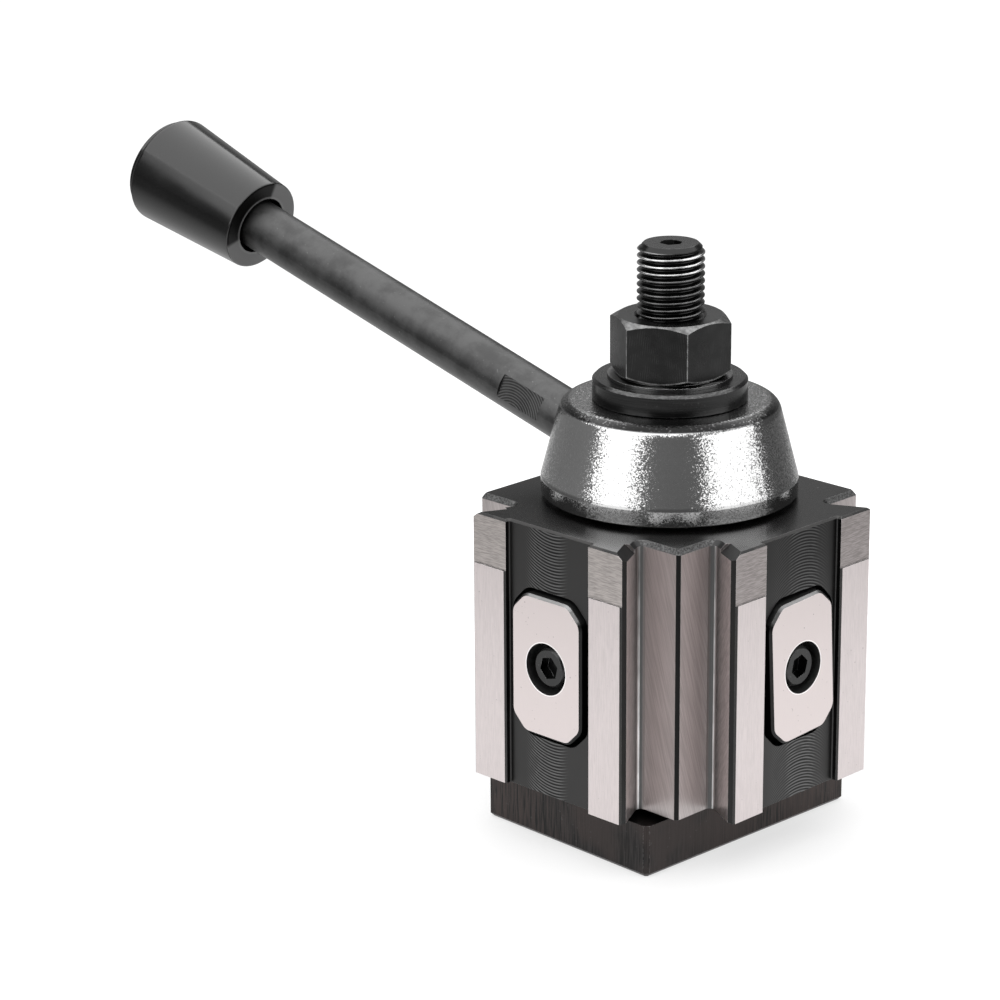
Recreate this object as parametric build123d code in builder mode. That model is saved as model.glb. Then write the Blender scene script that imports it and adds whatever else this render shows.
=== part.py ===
from build123d import *
import os
from math import cos, radians, sin, sqrt, tan

# Quick-change lathe tool post with two pistons, on its clamping stud and T-nut blank.
# Millimetres, +Z up, stud axis on Z, underside of the T-nut at z = 0.
# The front dovetail faces -Y and the side dovetail faces +X.

# Clearances
running_fit = 0.05
seat_fit = 0.03
loose_fit = 0.3
screw_hole_clearance = 0.2
stud_clearance = 0.43
hub_gap = 0.75
washer_gap = 0.2
pocket_clearance = 0.9
plate_gap = 0.45

# T-nut blank
nut_blank_width = 47.0
nut_blank_length = 60.7
nut_blank_height = 11.3
nut_blank_turn = -1.75
nut_blank_corner = 0.9
nut_blank_edge = 0.8

# Centre stud
stud_radius = 6.97
shoulder_radius = 11.0
shoulder_height = 1.7
stud_reach = 15.0
stud_end_chamfer = 1.3
stud_socket_size = 4.0
stud_socket_depth = 5.0
stud_root_chamfer = 1.0

# Post body
body_height = 57.45
land_reach = 27.4
back_reach = 28.0
near_corner_chamfer = 0.7
far_corner_chamfer = 0.5
floor_height = 6.0
cam_bore_radius = 20.0
body_bevel = 0.45

# Dovetails, with the angle of each face from +X
front_face_angle = -90.0
side_face_angle = 0.0
rail_reach = 36.65
root_half_width = 16.8
tip_half_width = 20.75
tip_flat = 1.4
recess_half_width = 11.55
recess_depth = 1.1
recess_root_radius = 0.3
dovetail_root_radius = 1.2
dovetail_root_margin = 3.0
dovetail_root_overlap = 1.0
lead_in_height = 1.75
lead_in_width = 2.1
lead_in_start = 3.3
land_bevel = 1.0
pad_rise = 0.3
pad_inset = 0.38
pad_top_drop = 10.95

# Locking plates and pistons
piston_height = 28.2
plate_width = 19.4
plate_height = 30.2
plate_thickness = 6.0
plate_corner = 3.6
plate_corner_radius = 3.0
plate_edge = 0.5
front_plate_turn = 0.0
side_plate_turn = 3.2
plate_travel_length = 1.5
screw_head_radius = 4.25
screw_head_height = 3.5
screw_head_sink = 0.9
screw_counterbore_radius = 5.5
screw_radius = 2.5
screw_length = 9.0
screw_socket_size = 4.4
screw_socket_depth = 2.2
screw_edge = 0.5
socket_turn = 15.0
piston_flange_radius = 9.0
piston_flange_thickness = 3.0
piston_stem_radius = 5.0
piston_tail_radius = 4.0
guide_ring_radius = 10.5
guide_ring_thickness = 6.0
guide_ring_sink = 0.6
spanner_hole_radius = 1.0
spanner_hole_depth = 2.5
spring_wire_radius = 0.55
spring_coil_radius = 7.0
spring_turns = 3

# Centre sleeve and cam
sleeve_radius = 10.0
thrust_washer_height = 1.0
thrust_washer_radius = 12.8
journal_radius = 19.9
journal_gap = 1.0
ring_land_height = 0.6
cam_core_radius = 13.2
cam_lift_angle = 60.0
lobe_return_angle = 20.0
lobe_half_height = 5.0
retaining_ring_thickness = 1.3
retaining_ring_radius = 21.2
retaining_ring_inner = 17.0
retaining_ring_gap = 0.1
retaining_ring_opening_width = 24.0
retaining_ring_opening_depth = 8.0
neck_radius = 15.0
stop_pin_radius = 2.0
stop_pin_circle_radius = 15.8
stop_pin_height = 4.5
stop_slot_depth = 5.0
stop_pin_angle = 225.0
stop_pin_sink = 0.5
stop_pin_bevel = 0.3
stop_clearance = 0.2
core_relief = 0.6
journal_bevel = 0.4
lobe_spiral_steps = 8

# Handle hub
hub_radius = 26.7
hub_band_height = 3.4
hub_top_radius = 22.4
hub_height = 19.8
hub_top_fillet = 3.0
hub_web = 4.5
hub_foot_bevel = 0.3
hub_screw_circle_radius = 12.9
hub_screw_radius = 1.5
hub_screw_head_radius = 2.4
hub_screw_head_height = 1.6
hub_screw_length = 10.0
hub_screw_count = 3
hub_dowel_radius = 1.5
hub_dowel_length = 8.0
hub_dowel_count = 2
hub_dowel_start = 90.0
hub_dowel_rise = 3.0

# Lever and knob
lever_turn = 182.9
lever_rise_angle = 16.75
lever_axis_height = 1.85
lever_radius = 5.65
lever_seat = 20.9
lever_thread_start = 17.6
lever_thread_radius = 4.0
lever_flat_start = 32.8
lever_flat_end = 44.5
lever_flat_size = 10.0
lever_flat_turn = 11.0
knob_start = 124.4
knob_length = 30.9
knob_small_radius = 10.35
knob_large_radius = 12.5
knob_mouth_radius = 6.6
knob_mouth_depth = 5.0
knob_end_radius = 1.1
knob_cap_radius = 11.2
knob_cap_height = 1.3
knob_cap_edge = 0.3
knob_rim_radius = 0.5
insert_radius = 6.5
insert_length = 14.0
insert_bead_width = 2.0
insert_bead_depth = 0.5
lever_stub_length = 12.0
lever_stub_bevel = 0.6
knob_floor_gap = 0.5

# Clamp washer and nut
washer_radius = 16.05
washer_thickness = 4.5
washer_bevel = 0.6
nut_size = 22.2
nut_height = 13.0
nut_face_radius = 12.9
nut_face_height = 0.6
nut_chamfer_radius = 10.7
nut_chamfer_angle = 30.0
nut_turn = 27.9
nut_countersink = 0.5

# Working heights
body_bottom = nut_blank_height + shoulder_height
body_top = body_bottom + body_height
floor_top = body_bottom + floor_height
piston_z = body_bottom + piston_height
cam_bottom = floor_top + thrust_washer_height
lobe_bottom = piston_z - lobe_half_height
lower_journal_top = piston_z - piston_flange_radius - journal_gap
upper_journal_bottom = piston_z + piston_flange_radius + journal_gap
upper_journal_top = body_top - ring_land_height - retaining_ring_thickness - retaining_ring_gap
hub_bottom = body_top + hub_gap
hub_top = hub_bottom + hub_height
neck_top = hub_top - hub_web
washer_bottom = hub_top + washer_gap
washer_top = washer_bottom + washer_thickness
clamp_nut_top = washer_top + nut_height
stud_top = clamp_nut_top + stud_reach

# Working reaches, measured outwards from the stud axis
recess_reach = rail_reach - recess_depth
plate_face_reach = rail_reach + pad_rise
plate_back_reach = plate_face_reach - plate_thickness
pocket_floor_reach = plate_back_reach - plate_gap
guide_outer_reach = pocket_floor_reach - guide_ring_sink
guide_inner_reach = guide_outer_reach - guide_ring_thickness
tail_reach = cam_core_radius + running_fit
flange_reach = tail_reach + plate_travel_length

stations = {
    "front": (front_face_angle, front_plate_turn),
    "side": (side_face_angle, side_plate_turn),
}
face_spread = 2 * (side_face_angle - front_face_angle)


def face_plane(angle, reach, height=0.0, turn=0.0):
    """Plane square to one dovetail face: x along the face, y up, z outwards."""
    outward = Vector(1, 0, 0).rotate(Axis.Z, angle)
    along = Vector(0, 1, 0).rotate(Axis.Z, angle).rotate(Axis((0, 0, 0), outward), turn)
    return Plane(origin=outward * reach + Vector(0, 0, height), x_dir=along, z_dir=outward)


def flank_plane(angle, side):
    """Plane square to one dovetail flank, at its root and the body top, with x out of the flank."""
    start = Vector(land_reach, side * root_half_width, body_top)
    end = Vector(rail_reach - tip_flat, side * tip_half_width, body_top)
    along = (end - start).normalized()
    outward = Vector(0, 0, side).cross(along)
    return Plane(
        origin=start.rotate(Axis.Z, angle),
        x_dir=outward.rotate(Axis.Z, angle),
        z_dir=along.rotate(Axis.Z, angle),
    )


def lever_plane(distance, turn=0.0):
    """Plane square to the lever, at a distance along it from the stud axis."""
    flat = Vector(1, 0, 0).rotate(Axis.Z, lever_turn)
    level = Vector(0, 0, 1).cross(flat)
    along = flat.rotate(Axis((0, 0, 0), level), -lever_rise_angle)
    start = Vector(0, 0, hub_bottom + lever_axis_height)
    turned = level.rotate(Axis((0, 0, 0), along), turn)
    return Plane(origin=start + along * distance, x_dir=turned, z_dir=along)


def section_through(plane):
    """Plane that holds the normal of another plane: x runs along that normal."""
    return Plane(origin=plane.origin, x_dir=plane.z_dir, z_dir=plane.x_dir)


def axis_of(plane):
    """Axis through a plane's origin, along its normal."""
    return Axis(plane.origin, plane.z_dir)


def reach_of(edge):
    """How far an edge's middle stands out towards the dovetail faces."""
    middle = edge.center()
    return max(middle.X, -middle.Y)


def plate_outline(grow):
    """Rectangle with its corners cut and eased, grown by a clearance."""
    with BuildSketch() as outline:
        Rectangle(plate_width + 2 * grow, plate_height + 2 * grow)
        chamfer(outline.vertices(), plate_corner + (2 - sqrt(2)) * grow)
        fillet(outline.vertices(), plate_corner_radius + grow)
    return outline.sketch


def finish(piece, name):
    """Label one sub-part and write it as its own file."""
    piece.part.label = name
    export_step(piece.part, f"parts/{name}.step")


os.makedirs("parts", exist_ok=True)

# T-nut blank
with BuildPart() as t_nut_blank:
    with BuildSketch(Plane.XY.rotated((0, 0, nut_blank_turn))):
        Rectangle(nut_blank_width, nut_blank_length)
    extrude(amount=nut_blank_height)
    chamfer(t_nut_blank.edges().filter_by(Axis.Z), nut_blank_corner)
    chamfer(t_nut_blank.faces().sort_by(Axis.Z)[0].edges(), nut_blank_edge)
    Hole(stud_radius + seat_fit)
finish(t_nut_blank, "t_nut_blank")

# Centre stud with its shoulder
with BuildPart() as centre_stud:
    with BuildSketch():
        Circle(stud_radius)
    extrude(amount=stud_top)
    with BuildSketch(Plane.XY.offset(nut_blank_height)):
        Circle(shoulder_radius)
    extrude(amount=shoulder_height)
    stud_ends = centre_stud.edges().filter_by(GeomType.CIRCLE)
    chamfer(stud_ends.sort_by(Axis.Z)[-1], stud_end_chamfer)
    chamfer(stud_ends.sort_by(Axis.Z)[0], stud_root_chamfer)
    with BuildSketch(Plane.XY.offset(stud_top)):
        RegularPolygon(stud_socket_size / 2, 6, major_radius=False)
    extrude(amount=-stud_socket_depth, mode=Mode.SUBTRACT)
finish(centre_stud, "centre_stud")

# Profile of one dovetail, pointing along +X
tip_start = rail_reach - tip_flat
with BuildSketch() as dovetail_profile:
    with BuildLine():
        Polyline(
            (land_reach - dovetail_root_overlap, -root_half_width - dovetail_root_margin),
            (land_reach, -root_half_width - dovetail_root_margin),
            (land_reach, -root_half_width),
            (tip_start, -tip_half_width),
            (rail_reach, -tip_half_width),
            (rail_reach, -recess_half_width),
            (recess_reach, -recess_half_width),
            (recess_reach, recess_half_width),
            (rail_reach, recess_half_width),
            (rail_reach, tip_half_width),
            (tip_start, tip_half_width),
            (land_reach, root_half_width),
            (land_reach, root_half_width + dovetail_root_margin),
            (land_reach - dovetail_root_overlap, root_half_width + dovetail_root_margin),
            close=True,
        )
    make_face()
    recess_corners = dovetail_profile.vertices().sort_by_distance((recess_reach, 0))[:2]
    fillet(recess_corners, recess_root_radius)
    root_corners = dovetail_profile.vertices().sort_by_distance((0, 0))[:2]
    fillet(root_corners, dovetail_root_radius)

# Section of one ground pad, pointing along +X
with BuildSketch() as pad_profile:
    for side in (-1, 1):
        with BuildLine():
            Polyline(
                (rail_reach - pad_rise, side * (recess_half_width + pad_inset)),
                (rail_reach, side * recess_half_width),
                (plate_face_reach, side * (recess_half_width + pad_inset)),
                (plate_face_reach, side * (tip_half_width - pad_inset)),
                (rail_reach, side * tip_half_width),
                (rail_reach - pad_rise, side * (tip_half_width - pad_inset)),
                close=True,
            )
        make_face()

# Post body
body_width = land_reach + back_reach
body_offset = (land_reach - back_reach) / 2
with BuildPart() as post_body:
    with BuildSketch(Plane.XY.offset(body_bottom)) as body_profile:
        with Locations((body_offset, -body_offset)):
            Rectangle(body_width, body_width)
        corners = body_profile.vertices()
        near_corner = corners.sort_by_distance((land_reach, -land_reach))[0]
        chamfer(near_corner, near_corner_chamfer)
        far_corners = body_profile.vertices().sort_by_distance((land_reach, -land_reach))[2:]
        chamfer(far_corners, far_corner_chamfer)
        with PolarLocations(0, 2, front_face_angle, face_spread):
            add(dovetail_profile.sketch)
    extrude(amount=body_height)
    body_rim = post_body.faces().sort_by(Axis.Z)[-1].outer_wire().edges()
    land_rim = body_rim.filter_by(lambda edge: abs(reach_of(edge) - land_reach) < near_corner_chamfer)
    chamfer(land_rim, land_bevel)
    body_rim = post_body.faces().sort_by(Axis.Z)[-1].outer_wire().edges()
    rest_of_rim = body_rim.filter_by(lambda edge: reach_of(edge) > tip_start or reach_of(edge) < 0)
    chamfer(rest_of_rim, body_bevel)
    with BuildSketch(Plane.XY.offset(body_bottom)):
        with PolarLocations(0, 2, front_face_angle, face_spread):
            add(pad_profile.sketch)
    extrude(amount=body_height - pad_top_drop)
    for angle, side in ((front_face_angle, -1), (front_face_angle, 1), (side_face_angle, -1)):
        with BuildSketch(flank_plane(angle, side).offset(lead_in_start)):
            with BuildLine():
                Polyline(
                    (-lead_in_width, 0),
                    (0, -side * lead_in_height),
                    (lead_in_width, -side * lead_in_height),
                    (lead_in_width, 0),
                    close=True,
                )
            make_face()
        extrude(amount=rail_reach - land_reach + lead_in_width, mode=Mode.SUBTRACT)
    with BuildSketch(Plane.XY.offset(body_top)):
        Circle(cam_bore_radius)
    extrude(amount=floor_top - body_top, mode=Mode.SUBTRACT)
    with BuildSketch(Plane.XY.offset(upper_journal_top + retaining_ring_gap)):
        Circle(retaining_ring_radius)
    extrude(amount=retaining_ring_thickness, mode=Mode.SUBTRACT)
    with BuildSketch(Plane.XY.offset(body_bottom)):
        Circle(sleeve_radius + seat_fit)
        with PolarLocations(stop_pin_circle_radius, 1, stop_pin_angle):
            Circle(stop_pin_radius + seat_fit)
    extrude(amount=floor_height, mode=Mode.SUBTRACT)
    for angle, _ in stations.values():
        with BuildSketch(face_plane(angle, pocket_floor_reach, piston_z)):
            add(plate_outline(pocket_clearance))
        extrude(amount=plate_thickness, mode=Mode.SUBTRACT)
        with BuildSketch(face_plane(angle, guide_inner_reach, piston_z)):
            Circle(guide_ring_radius)
        extrude(amount=pocket_floor_reach - guide_inner_reach, mode=Mode.SUBTRACT)
        with BuildSketch(face_plane(angle, neck_radius, piston_z)):
            Circle(piston_flange_radius + running_fit)
        extrude(amount=guide_inner_reach - neck_radius, mode=Mode.SUBTRACT)
finish(post_body, "post_body")

# Centre sleeve, which carries the clamp load past the cam
with BuildPart() as centre_sleeve:
    with BuildSketch(Plane.XY.offset(body_bottom)):
        Circle(sleeve_radius)
        Circle(stud_radius + stud_clearance, mode=Mode.SUBTRACT)
    extrude(amount=washer_bottom - body_bottom)
    chamfer(centre_sleeve.faces().sort_by(Axis.Z)[-1].edges(), hub_foot_bevel)
finish(centre_sleeve, "centre_sleeve")

# Cam thrust washer
with BuildPart() as cam_thrust_washer:
    with BuildSketch(Plane.XY.offset(floor_top)):
        Circle(thrust_washer_radius)
        Circle(sleeve_radius + loose_fit, mode=Mode.SUBTRACT)
    extrude(amount=thrust_washer_height)
finish(cam_thrust_washer, "cam_thrust_washer")

# Cam stop pin
with BuildPart() as cam_stop_pin:
    with BuildSketch(Plane.XY.offset(body_bottom + stop_pin_sink)):
        with PolarLocations(stop_pin_circle_radius, 1, stop_pin_angle):
            Circle(stop_pin_radius)
    extrude(amount=floor_height - stop_pin_sink + stop_pin_height)
    chamfer(cam_stop_pin.faces().sort_by(Axis.Z)[-1].edges(), stop_pin_bevel)
finish(cam_stop_pin, "cam_stop_pin")

# Outline of the two cam lobes, each a spiral that lifts evenly with the angle
lobe_peak = cam_core_radius + plate_travel_length


def polar(radius, angle):
    """Point at a radius and an angle in degrees."""
    return (radius * cos(radians(angle)), radius * sin(radians(angle)))


def spiral_points(start_angle):
    """Points along one lobe, from the core radius to the peak."""
    rise = plate_travel_length / lobe_spiral_steps
    turn = cam_lift_angle / lobe_spiral_steps
    steps = range(lobe_spiral_steps + 1)
    return [polar(cam_core_radius + rise * step, start_angle + turn * step) for step in steps]


side_lobe_end = side_face_angle + cam_lift_angle + lobe_return_angle
front_lobe_end = front_face_angle + cam_lift_angle + lobe_return_angle
with BuildSketch(Plane.XY.offset(lobe_bottom)) as lobe_profile:
    with BuildLine():
        Spline(*spiral_points(side_face_angle))
        Line(polar(lobe_peak, side_face_angle + cam_lift_angle), polar(cam_core_radius, side_lobe_end))
        CenterArc((0, 0), cam_core_radius, side_lobe_end, front_face_angle + 360 - side_lobe_end)
        Spline(*spiral_points(front_face_angle))
        Line(polar(lobe_peak, front_face_angle + cam_lift_angle), polar(cam_core_radius, front_lobe_end))
        CenterArc((0, 0), cam_core_radius, front_lobe_end, side_face_angle - front_lobe_end)
    make_face()

# Cam shaft with two journals and a neck for the hub
with BuildPart() as cam_shaft:
    with BuildSketch(Plane.XY.offset(cam_bottom)):
        Circle(journal_radius)
    extrude(amount=lower_journal_top - cam_bottom)
    with BuildSketch(Plane.XY.offset(cam_bottom)):
        Circle(cam_core_radius - core_relief)
    extrude(amount=upper_journal_top - cam_bottom)
    extrude(lobe_profile.sketch, amount=2 * lobe_half_height)
    with BuildSketch(Plane.XY.offset(upper_journal_bottom)):
        Circle(journal_radius)
    extrude(amount=upper_journal_top - upper_journal_bottom)
    with BuildSketch(Plane.XY.offset(upper_journal_top)):
        Circle(neck_radius)
    extrude(amount=neck_top - upper_journal_top)
    journal_rims = cam_shaft.edges().filter_by(GeomType.CIRCLE).group_by(SortBy.RADIUS)[-1]
    chamfer(journal_rims, journal_bevel)
    with BuildSketch(Plane.XY.offset(cam_bottom)):
        Circle(sleeve_radius + running_fit)
    extrude(amount=neck_top - cam_bottom, mode=Mode.SUBTRACT)
    with BuildSketch(Plane.XY.offset(cam_bottom)):
        with BuildLine(mode=Mode.PRIVATE) as stop_path:
            CenterArc((0, 0), stop_pin_circle_radius, stop_pin_angle, cam_lift_angle)
        SlotArc(stop_path.edges()[0], 2 * (stop_pin_radius + stop_clearance))
    extrude(amount=stop_slot_depth, mode=Mode.SUBTRACT)
    with BuildSketch(Plane.XY.offset(neck_top)):
        with PolarLocations(hub_screw_circle_radius, hub_screw_count):
            Circle(hub_screw_radius + seat_fit)
    extrude(amount=-hub_screw_length, mode=Mode.SUBTRACT)
    with BuildSketch(Plane.XY.offset(neck_top)):
        with PolarLocations(hub_screw_circle_radius, hub_dowel_count, hub_dowel_start):
            Circle(hub_dowel_radius + seat_fit)
    extrude(amount=-hub_dowel_length + hub_dowel_rise, mode=Mode.SUBTRACT)
finish(cam_shaft, "cam_shaft")

# Retaining ring, open on one side, in its groove above the upper journal
ring_seat = upper_journal_top + retaining_ring_gap
with BuildPart() as cam_retaining_ring:
    with BuildSketch(Plane.XY.offset(ring_seat)):
        Circle(retaining_ring_radius - running_fit)
        Circle(retaining_ring_inner, mode=Mode.SUBTRACT)
        with PolarLocations(retaining_ring_radius, 1, stop_pin_angle):
            Rectangle(retaining_ring_opening_width, retaining_ring_opening_depth, mode=Mode.SUBTRACT)
    extrude(amount=retaining_ring_thickness - retaining_ring_gap)
finish(cam_retaining_ring, "cam_retaining_ring")

# Handle hub
with BuildPart() as handle_hub:
    with BuildSketch(Plane.XZ):
        with BuildLine():
            Polyline(
                (sleeve_radius + loose_fit, neck_top),
                (neck_radius + seat_fit, neck_top),
                (neck_radius + seat_fit, hub_bottom),
                (hub_radius, hub_bottom),
                (hub_radius, hub_bottom + hub_band_height),
                (hub_top_radius, hub_top),
                (sleeve_radius + loose_fit, hub_top),
                close=True,
            )
        make_face()
    revolve(axis=Axis.Z)
    hub_rims = handle_hub.edges().filter_by(GeomType.CIRCLE)
    fillet(hub_rims.group_by(Axis.Z)[-1].sort_by(SortBy.RADIUS)[-1], hub_top_fillet)
    chamfer(hub_rims.group_by(Axis.Z)[0].sort_by(SortBy.RADIUS)[-1], hub_foot_bevel)
    with BuildSketch(lever_plane(lever_seat)):
        Circle(lever_radius + seat_fit)
    extrude(amount=hub_radius, mode=Mode.SUBTRACT)
    with BuildSketch(lever_plane(lever_thread_start - seat_fit)):
        Circle(lever_thread_radius + seat_fit)
    extrude(amount=lever_seat - lever_thread_start + seat_fit, mode=Mode.SUBTRACT)
    with BuildSketch(Plane.XY.offset(neck_top)):
        with PolarLocations(hub_screw_circle_radius, hub_screw_count):
            Circle(hub_screw_radius + seat_fit)
    extrude(amount=hub_web, mode=Mode.SUBTRACT)
    with BuildSketch(Plane.XY.offset(hub_top - hub_screw_head_height)):
        with PolarLocations(hub_screw_circle_radius, hub_screw_count):
            Circle(hub_screw_head_radius + seat_fit)
    extrude(amount=hub_screw_head_height, mode=Mode.SUBTRACT)
    with BuildSketch(Plane.XY.offset(neck_top)):
        with PolarLocations(hub_screw_circle_radius, hub_dowel_count, hub_dowel_start):
            Circle(hub_dowel_radius + seat_fit)
    extrude(amount=hub_dowel_rise, mode=Mode.SUBTRACT)
finish(handle_hub, "handle_hub")

# Screws that hold the hub on the neck, flush under the clamp washer
with BuildPart() as hub_screws:
    with BuildSketch(Plane.XY.offset(hub_top - hub_screw_head_height)):
        with PolarLocations(hub_screw_circle_radius, hub_screw_count):
            Circle(hub_screw_head_radius)
    extrude(amount=hub_screw_head_height)
    with BuildSketch(Plane.XY.offset(hub_top - hub_screw_head_height)):
        with PolarLocations(hub_screw_circle_radius, hub_screw_count):
            Circle(hub_screw_radius)
    extrude(amount=-hub_screw_length)
finish(hub_screws, "hub_screws")

# Dowels that carry the turning load from the hub to the neck
with BuildPart() as hub_dowels:
    with BuildSketch(Plane.XY.offset(neck_top + hub_dowel_rise)):
        with PolarLocations(hub_screw_circle_radius, hub_dowel_count, hub_dowel_start):
            Circle(hub_dowel_radius)
    extrude(amount=-hub_dowel_length)
finish(hub_dowels, "hub_dowels")

# Lever rod with a threaded stub at each end and two wrench flats
lever_end = knob_start + knob_mouth_depth
with BuildPart() as lever_rod:
    with BuildSketch(lever_plane(lever_thread_start)):
        Circle(lever_thread_radius)
    extrude(amount=lever_end + lever_stub_length - lever_thread_start)
    stub_ends = lever_rod.faces().filter_by(GeomType.PLANE).edges()
    chamfer(stub_ends, lever_stub_bevel)
    with BuildSketch(lever_plane(lever_seat)):
        Circle(lever_radius)
    extrude(amount=lever_end - lever_seat)
    flat_cut = lever_radius - lever_flat_size / 2
    with BuildSketch(lever_plane(lever_flat_start, lever_flat_turn)):
        for side in (-1, 1):
            with Locations((side * (lever_flat_size + flat_cut) / 2, 0)):
                Rectangle(flat_cut, 2 * lever_radius)
    extrude(amount=lever_flat_end - lever_flat_start, mode=Mode.SUBTRACT)
finish(lever_rod, "lever_rod")

# Tapered knob
knob_face = lever_plane(knob_start)
insert_end = knob_mouth_depth + insert_length
with BuildPart() as lever_knob:
    with BuildSketch(section_through(knob_face)):
        with BuildLine():
            Polyline(
                (0, knob_mouth_radius),
                (0, knob_small_radius),
                (knob_length, knob_large_radius),
                (knob_length, knob_cap_radius),
                (knob_length + knob_cap_height, knob_cap_radius),
                (knob_length + knob_cap_height, 0),
                (insert_end + knob_floor_gap, 0),
                (insert_end + knob_floor_gap, insert_radius + seat_fit),
                (knob_mouth_depth, insert_radius + seat_fit),
                (knob_mouth_depth, knob_mouth_radius),
                close=True,
            )
        make_face()
    revolve(axis=axis_of(knob_face))
    knob_rims = lever_knob.edges().filter_by(GeomType.CIRCLE)
    fillet(knob_rims.sort_by(SortBy.RADIUS)[-1], knob_end_radius)
    cap_rims = lever_knob.edges().filter_by(GeomType.CIRCLE).group_by(axis_of(knob_face))[-1]
    fillet(cap_rims, knob_cap_edge)
    mouth_rims = lever_knob.edges().filter_by(GeomType.CIRCLE).group_by(axis_of(knob_face))[0]
    fillet(mouth_rims.sort_by(SortBy.RADIUS)[-1], knob_rim_radius)
finish(lever_knob, "lever_knob")

# Threaded insert in the knob, with two anchoring grooves
with BuildPart() as knob_insert:
    with BuildSketch(lever_plane(lever_end)):
        Circle(insert_radius)
        Circle(lever_thread_radius + seat_fit, mode=Mode.SUBTRACT)
    extrude(amount=insert_length)
    for step in (1, 2):
        groove_start = lever_end + insert_length * step / 3 - insert_bead_width / 2
        with BuildSketch(lever_plane(groove_start)):
            Circle(insert_radius)
            Circle(insert_radius - insert_bead_depth, mode=Mode.SUBTRACT)
        extrude(amount=insert_bead_width, mode=Mode.SUBTRACT)
finish(knob_insert, "knob_insert")

# One set of piston, spring, guide ring, locking plate and screw in each dovetail face
for station, (angle, turn) in stations.items():
    centre = face_plane(angle, 0, piston_z)
    tail_drop = flange_reach - tail_reach
    plate_screw_seat = plate_face_reach - screw_head_sink - screw_head_height

    with BuildPart() as piston:
        with BuildSketch(section_through(centre)):
            with BuildLine():
                tail_arc = SagittaArc(
                    (flange_reach, -piston_tail_radius),
                    (flange_reach, piston_tail_radius),
                    tail_drop,
                )
                Line(tail_arc @ 0, tail_arc @ 1)
            make_face()
            split(bisect_by=Plane.XZ, keep=Keep.TOP)
            with Locations((flange_reach, 0)):
                Rectangle(piston_flange_thickness, piston_flange_radius, align=(Align.MIN, Align.MIN))
                Rectangle(plate_back_reach - flange_reach, piston_stem_radius, align=(Align.MIN, Align.MIN))
        revolve(axis=axis_of(centre))
        with BuildSketch(face_plane(angle, plate_back_reach, piston_z)):
            Circle(screw_radius + seat_fit)
        extrude(amount=plate_screw_seat - screw_length - plate_back_reach, mode=Mode.SUBTRACT)
    finish(piston, f"piston_{station}")

    with BuildPart() as guide_ring:
        with BuildSketch(face_plane(angle, guide_inner_reach, piston_z)):
            Circle(guide_ring_radius - running_fit)
            Circle(piston_stem_radius + running_fit, mode=Mode.SUBTRACT)
        extrude(amount=guide_ring_thickness)
        with BuildSketch(face_plane(angle, guide_outer_reach, piston_z)):
            with PolarLocations((guide_ring_radius + piston_stem_radius) / 2, 2):
                Circle(spanner_hole_radius)
        extrude(amount=-spanner_hole_depth, mode=Mode.SUBTRACT)
    finish(guide_ring, f"guide_ring_{station}")

    spring_start = flange_reach + piston_flange_thickness + spring_wire_radius
    spring_rise = guide_inner_reach - spring_start - spring_wire_radius
    with BuildPart() as return_spring:
        spring_foot = face_plane(angle, spring_start, piston_z)
        with BuildLine():
            coil = Helix(
                spring_rise / spring_turns,
                spring_rise,
                spring_coil_radius,
                center=spring_foot.origin,
                direction=spring_foot.z_dir,
            )
        with BuildSketch(Plane(origin=coil @ 0, z_dir=coil % 0)):
            Circle(spring_wire_radius - seat_fit)
        sweep(is_frenet=True)
    finish(return_spring, f"return_spring_{station}")

    with BuildPart() as locking_plate:
        with BuildSketch(face_plane(angle, plate_back_reach, piston_z, turn)):
            add(plate_outline(0))
            Circle(screw_radius + screw_hole_clearance, mode=Mode.SUBTRACT)
        extrude(amount=plate_thickness)
        plate_front = locking_plate.faces().sort_by(axis_of(face_plane(angle, 0, piston_z)))[-1]
        chamfer(plate_front.outer_wire().edges(), plate_edge)
        with BuildSketch(face_plane(angle, plate_screw_seat, piston_z)):
            Circle(screw_counterbore_radius)
        extrude(amount=plate_thickness, mode=Mode.SUBTRACT)
    finish(locking_plate, f"locking_plate_{station}")

    with BuildPart() as plate_screw:
        with BuildSketch(face_plane(angle, plate_screw_seat, piston_z)):
            Circle(screw_head_radius)
        extrude(amount=screw_head_height)
        chamfer(plate_screw.edges().sort_by_distance(centre.origin)[-1], screw_edge)
        with BuildSketch(face_plane(angle, plate_screw_seat + screw_head_height, piston_z, socket_turn)):
            RegularPolygon(screw_socket_size / 2, 6, major_radius=False)
        extrude(amount=-screw_socket_depth, mode=Mode.SUBTRACT)
        with BuildSketch(face_plane(angle, plate_screw_seat, piston_z)):
            Circle(screw_radius)
        extrude(amount=-screw_length)
    finish(plate_screw, f"plate_screw_{station}")

# Clamp washer
with BuildPart() as clamp_washer:
    with BuildSketch(Plane.XY.offset(washer_bottom)):
        Circle(washer_radius)
        Circle(stud_radius + stud_clearance, mode=Mode.SUBTRACT)
    extrude(amount=washer_thickness)
    washer_rims = clamp_washer.faces().sort_by(Axis.Z)[-1].edges()
    chamfer(washer_rims.sort_by(SortBy.RADIUS)[-1], washer_bevel)
finish(clamp_washer, "clamp_washer")

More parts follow.
